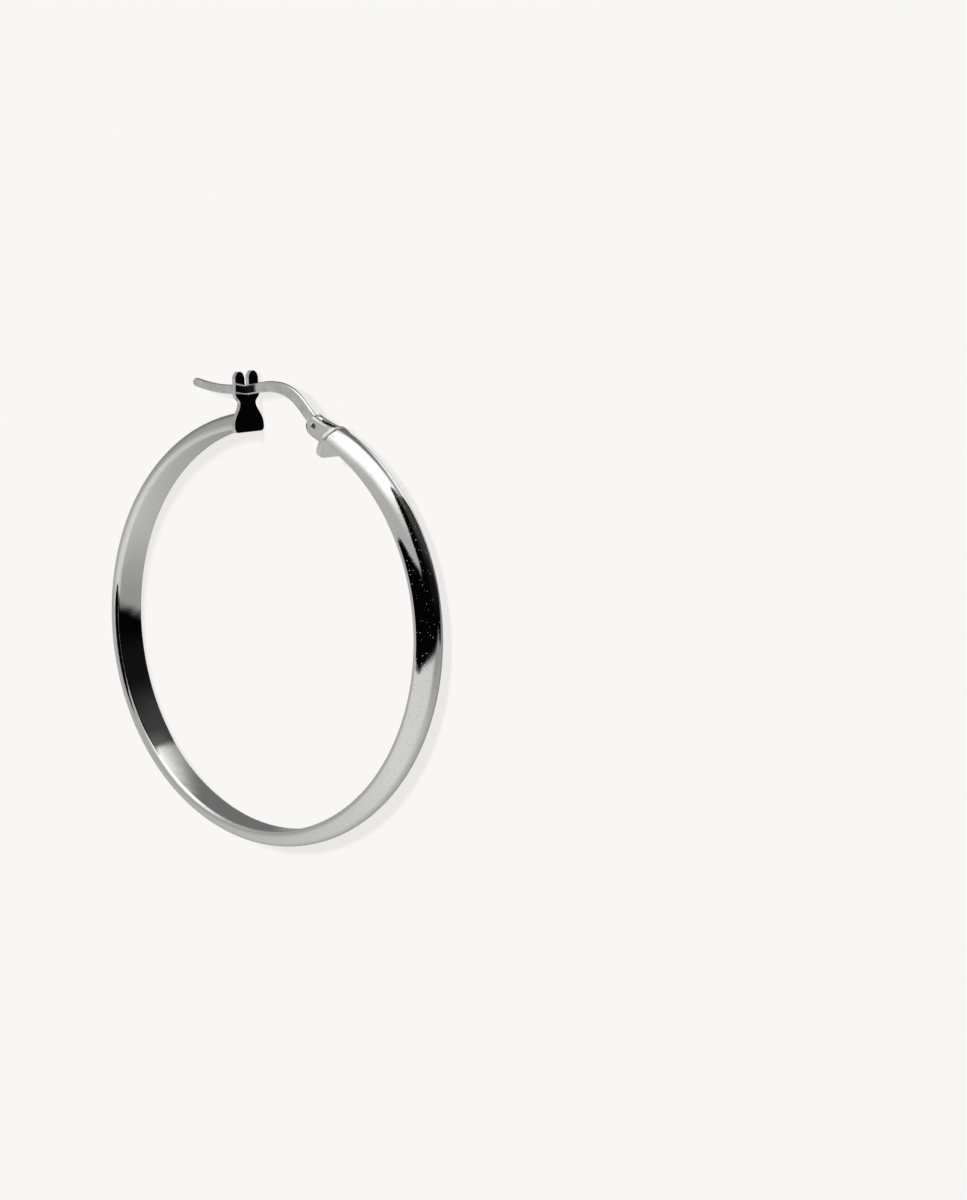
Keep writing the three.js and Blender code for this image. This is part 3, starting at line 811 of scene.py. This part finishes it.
def light_tent():
    """What the silver mirrors. It lights nothing else. It is a grey tent with its back in shade, a white
    sheet on the table, a pale patch of roof, a grey fold low in front, one bright card, and a black flag
    round the camera with a little light spilt on its foot."""
    world = bpy.data.worlds.new("light tent")
    world.use_nodes = True
    bpy.context.scene.world = world
    world.cycles_visibility.diffuse = False
    tree = world.node_tree
    tree.nodes.clear()
    look = node(tree, "ShaderNodeSeparateXYZ", {0: node(tree, "ShaderNodeTexCoord", out="Generated")}).node
    turn = node(tree, "ShaderNodeMath", {0: look.outputs["Y"], 1: look.outputs["X"]}, operation="ARCTAN2")
    bearing = node(tree, "ShaderNodeMath", {0: turn}, operation="DEGREES")
    rise = node(tree, "ShaderNodeMath", {0: look.outputs["Z"]}, operation="ARCSINE")
    height = node(tree, "ShaderNodeMath", {0: rise}, operation="DEGREES")
    level = node(tree, "ShaderNodeMath", {0: height, 1: 1 / 180, 2: 0.5}, operation="MULTIPLY_ADD")
    round_share = node(tree, "ShaderNodeMath", {0: bearing, 1: 1 / 360, 2: 0.5}, operation="MULTIPLY_ADD")

    cloth = shades(node(tree, "ShaderNodeValToRGB", {0: round_share}), by_share(TENT_CLOTH, 360))
    dimmed = shades(node(tree, "ShaderNodeValToRGB", {0: level}), by_share(TENT_DIMMED, 180))
    light = node(tree, "ShaderNodeMath", {0: cloth, 1: dimmed}, operation="MULTIPLY")
    # The back in shade, the sheet, the patch of roof and the fold
    light = hang_panel(tree, light, 0.155, (bearing, 70, 112), (bearing, 180, 164), (height, 5, -40))
    light = hang_panel(tree, light, 0.9, (bearing, 78, 95), (bearing, 180, 160), (height, -54, -62))
    light = hang_panel(tree, light, 0.62, (bearing, -165, -148), (bearing, -40, -70), (height, 44, 54))
    light = hang_panel(tree, light, 0.3, (bearing, -62, -14), (bearing, 40, 10), (height, -25, -42))

    # The card, whose upper edge slopes and whose far edge leans
    slope = node(tree, "ShaderNodeMath", {0: bearing, 1: -0.35, 2: height}, operation="MULTIPLY_ADD")
    low = node(tree, "ShaderNodeMath", {0: height, 1: -30.0}, operation="MINIMUM")
    lean = node(tree, "ShaderNodeMath", {0: low, 1: -0.9, 2: bearing}, operation="MULTIPLY_ADD")
    light = hang_panel(tree, light, 1.25, (bearing, 38, 76), (lean, 149, 119), (slope, 13.2, -18.8),
                       (height, -54, -30))

    left, right = (
        shades(node(tree, "ShaderNodeValToRGB", {0: level}),
               [(at, reach / FLAG_SPAN) for at, reach in by_share(edge, 180)])
        for edge in (FLAG_LEFT, FLAG_RIGHT)
    )
    from_left = node(tree, "ShaderNodeMath", {0: left, 1: FLAG_SPAN, 2: bearing}, operation="MULTIPLY_ADD")
    from_right = node(tree, "ShaderNodeMath", {0: right, 1: -FLAG_SPAN, 2: bearing},
                      operation="MULTIPLY_ADD")
    spill = hang_panel(tree, 0.0012, 0.006, (bearing, 0, 18), (height, -28, -40))
    spill = hang_panel(tree, spill, 0.045, (bearing, 28, 58), (height, -26, -38))
    spill = hang_panel(tree, spill, 0.13, (bearing, 57, 71), (height, -22, -34), (height, -54, -38))
    light = hang_panel(tree, light, spill, (from_left, -1.2, 1.2), (from_right, 1.3, -1.3))
    light = hang_panel(tree, light, 0.42, (height, 80, 86))  # cloth straight overhead

    glow = node(tree, "ShaderNodeBackground", {"Color": light, "Strength": 1.05})
    node(tree, "ShaderNodeOutputWorld", {"Surface": glow})


def hang_lamp(name, place, size, power, shadow=True):
    """A soft lamp that lights the floor and doesn't show in the silver. Its place and size are in
    metres, and its power in watts. It points at the origin."""
    lamp = bpy.data.lights.new(name, "AREA")
    lamp.shape, lamp.size, lamp.energy, lamp.use_shadow = "DISK", size, power, shadow
    hung = bpy.data.objects.new(name, lamp)
    hung.location = place
    hung.rotation_mode = "QUATERNION"
    hung.rotation_quaternion = (-Vector(place)).to_track_quat("-Z", "Y")
    hung.visible_glossy = False
    bpy.context.scene.collection.objects.link(hung)


def set_camera():
    """A long lens, rolled so that the hoop's top is the picture's top. It stands turned from the hoop's
    axis and a little above its middle, and the hoop is in the left half of the picture."""
    turn, rise = math.radians(CAMERA_TURN), math.radians(CAMERA_RISE)
    right = Vector((math.cos(turn), 0, -math.sin(turn)))
    up = Vector((-math.sin(rise) * math.sin(turn), math.cos(rise), -math.sin(rise) * math.cos(turn)))
    back = right.cross(up)
    aim = Vector(HOOP_CENTRE) + right * AIM_RIGHT + up * AIM_UP
    camera = bpy.data.cameras.new("camera")
    camera.sensor_width = SENSOR
    camera.lens = SENSOR * PIXELS_PER_MM * CAMERA_AWAY / PICTURE_HEIGHT
    camera.clip_start, camera.clip_end = 0.05, 20
    stand = bpy.data.objects.new("camera", camera)
    facing = Matrix((right, up, back)).transposed().to_4x4()
    stand.matrix_world = Matrix.Translation((aim + back * CAMERA_AWAY) * MM) @ facing
    bpy.context.scene.collection.objects.link(stand)
    bpy.context.scene.camera = stand


def main():
    """Makes the pieces, says what each rides on and stands for, and sets the stage."""
    buffed = polished_silver("buffed rhodium-flashed sterling silver", pinholes=True)
    plate_finish = polished_silver("polished sterling silver sheet", pinholes=False)
    satin = satin_silver()
    hoop_pieces = [bend_band(buffed), *cut_plates(plate_finish, filed_silver()),
                   *run_solder(solder_tree(), solder_silver())]
    for piece in hoop_pieces:
        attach(piece, "hoop")
        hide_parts("hoop")
    lever = cut_ear_wire(satin)
    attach(lever, "ear_wire")
    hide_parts("ear_wire")
    rivet = set_rivet(dulled_silver())
    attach(rivet, "hoop")
    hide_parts("hinge_pin")
    for piece in (*hoop_pieces, lever, rivet):
        piece.visible_diffuse = False  # so that the silver throws no glow on the floor

    lay_floor()
    light_tent()
    hang_lamp("overhead softbox", (0.0, 0.5, 1.4), 0.3, 3.1)
    hang_lamp("fill", (0.0, 0.0, 1.4), 0.5, 17.7, shadow=False)
    set_camera()
    bpy.context.scene.view_settings.view_transform = "Standard"


main()
